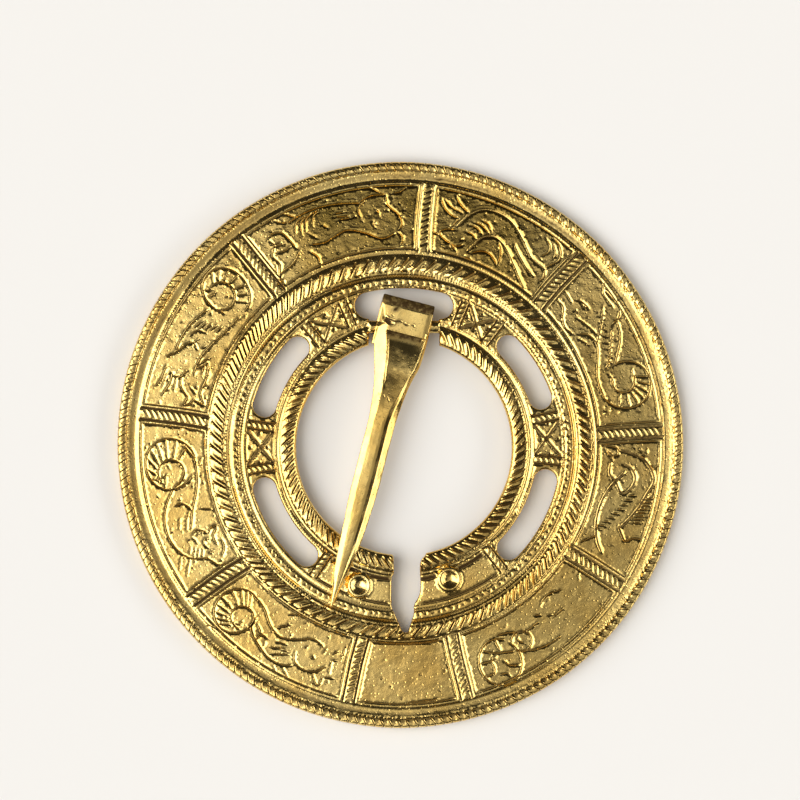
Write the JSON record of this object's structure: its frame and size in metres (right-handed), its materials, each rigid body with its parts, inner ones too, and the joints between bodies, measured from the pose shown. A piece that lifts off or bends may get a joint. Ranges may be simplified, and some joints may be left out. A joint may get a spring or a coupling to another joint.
{
  "type": "penannular brooch",
  "caption": "Cast brass ring brooch with a slit, milled rim, ropework rings, panels of engraved beasts and a faceted pin that swings on the ring.",
  "frame": {"origin": "under the middle of the round outline, on the plane of the rim's flat foot", "axes": "+Z out of the decorated face, +Y from the middle towards the pin's head, +X to the right as the face is looked at"},
  "size_m": [0.08, 0.08, 0.0051],
  "materials": {
    "cast_brass": "worn cast brass, satin, with brown patina left in the engraving",
    "pin_brass": "worn cast brass, satin, paler and smoother than the disc"
  },
  "bodies": {
    "disc": {"disc": "cast_brass"},
    "pin": {"pin": "pin_brass"}
  },
  "joints": [
    {"name": "pin_swing", "type": "hinge", "parent": "disc", "child": "pin", "pos_m": [0.00041, 0.01658, 0.00226], "axis": [-1, 0, 0], "range_deg": [0, 150]}
  ]
}
